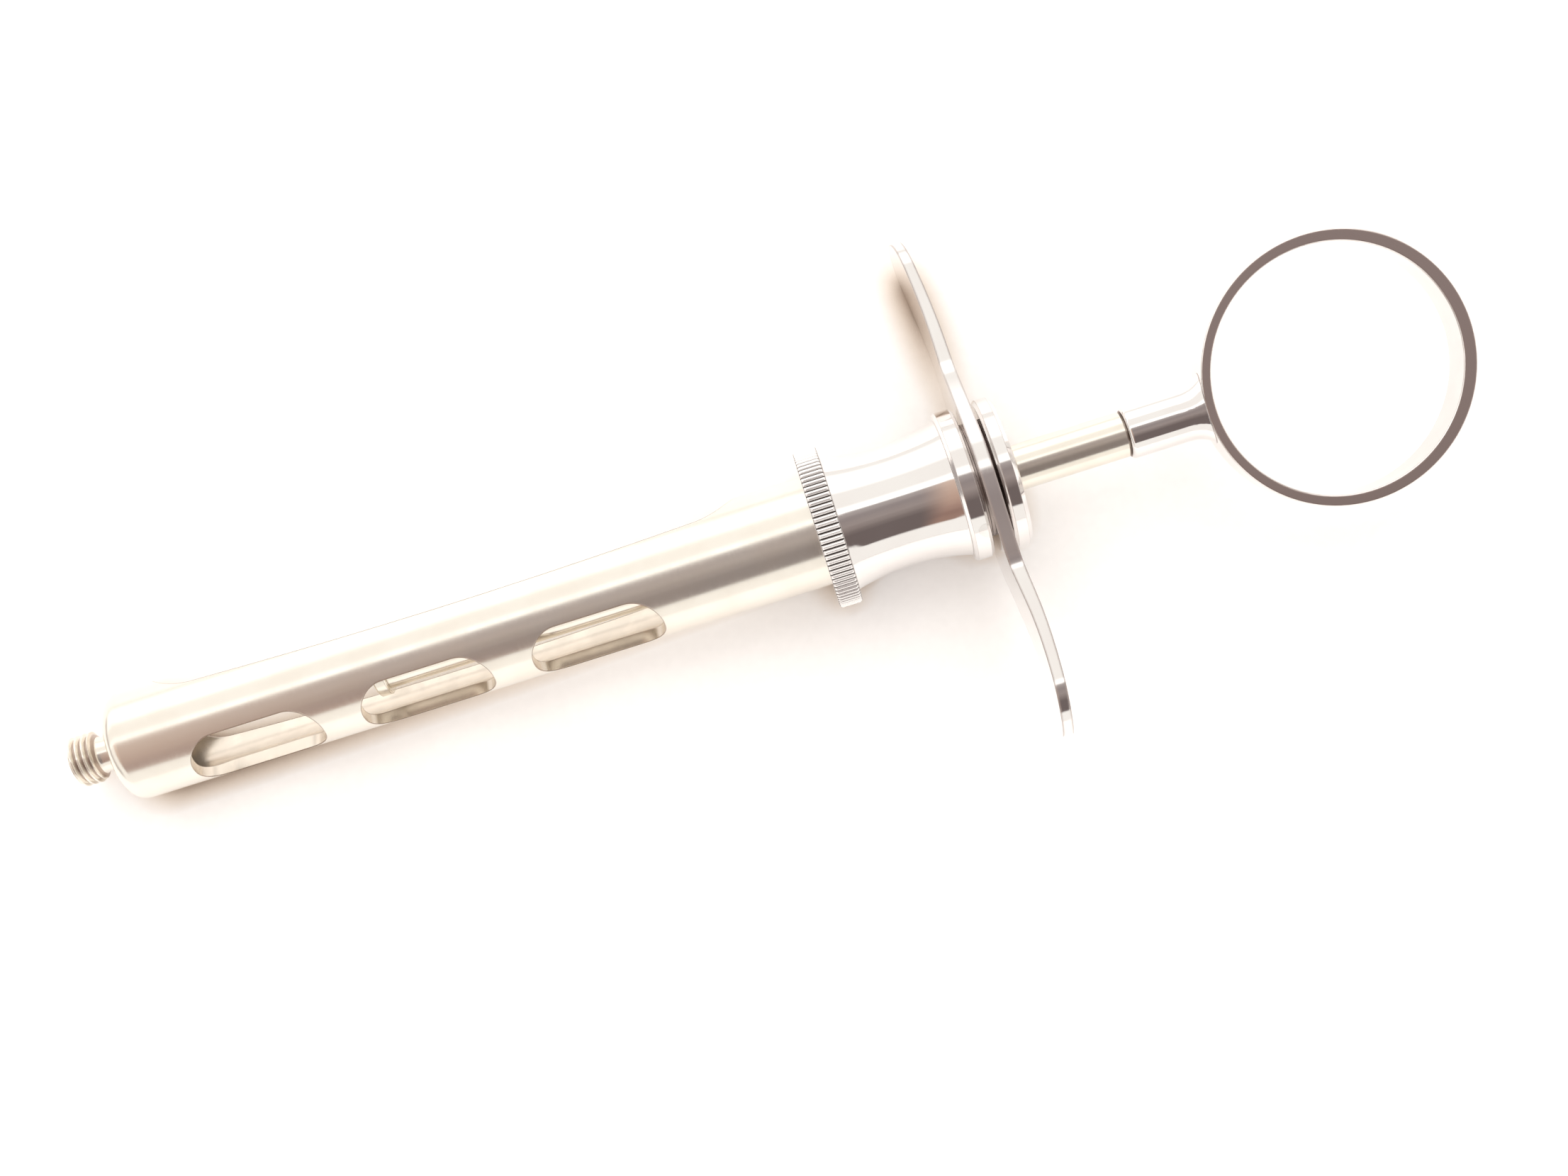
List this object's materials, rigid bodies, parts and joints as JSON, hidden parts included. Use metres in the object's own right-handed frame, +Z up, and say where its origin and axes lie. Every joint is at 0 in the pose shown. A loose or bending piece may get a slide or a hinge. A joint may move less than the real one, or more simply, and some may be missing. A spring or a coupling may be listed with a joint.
{
  "type": "dental cartridge syringe",
  "caption": "Side-loading metal cartridge syringe: slotted barrel with sight windows, waisted handle with a finger plate, sliding plunger and thumb ring.",
  "frame": {"origin": "on the syringe's axis at the front end of the needle thread", "axes": "+X along the syringe's axis towards the thumb ring, +Z up as it lies on a table with its +Y wing down"},
  "size_m": [0.1639, 0.061, 0.0196],
  "materials": {
    "satin_nickel": "satin",
    "polished_chrome": "polished",
    "brass_liner": "satin",
    "spring_steel": "bright",
    "seal_rubber": "matte"
  },
  "bodies": {
    "barrel": {"barrel_tube": "satin_nickel", "needle_adaptor": "satin_nickel", "knurled_collar": "polished_chrome", "handle_spool": "polished_chrome", "front_washer": "spring_steel", "finger_plate": "polished_chrome", "rear_washer": "spring_steel", "guide_cap": "polished_chrome", "guide_bush": "brass_liner", "rod_seal": "seal_rubber", "gland_ring": "satin_nickel", "snap_ring": "spring_steel", "return_spring": "spring_steel"},
    "follower": {"spring_follower": "satin_nickel"},
    "plunger": {"piston_rod": "satin_nickel", "piston_disc": "satin_nickel", "harpoon": "satin_nickel"},
    "thumb_ring": {"ring_stem": "polished_chrome", "thumb_ring": "polished_chrome"}
  },
  "joints": [
    {"name": "plunger_slide", "type": "slide", "parent": "barrel", "child": "plunger", "axis": [1, 0, 0], "range_m": [-0.0124, 0.046]},
    {"name": "ring_turn", "type": "hinge", "parent": "plunger", "child": "thumb_ring", "pos_m": [0.1484, 0, 0], "axis": [1, 0, 0], "continuous": true},
    {"name": "follower_slide", "type": "slide", "parent": "barrel", "child": "follower", "axis": [1, 0, 0], "range_m": [0, 0.006], "stiffness_N_per_m": 400, "springref_m": -0.005, "deforming": ["return_spring"]}
  ]
}
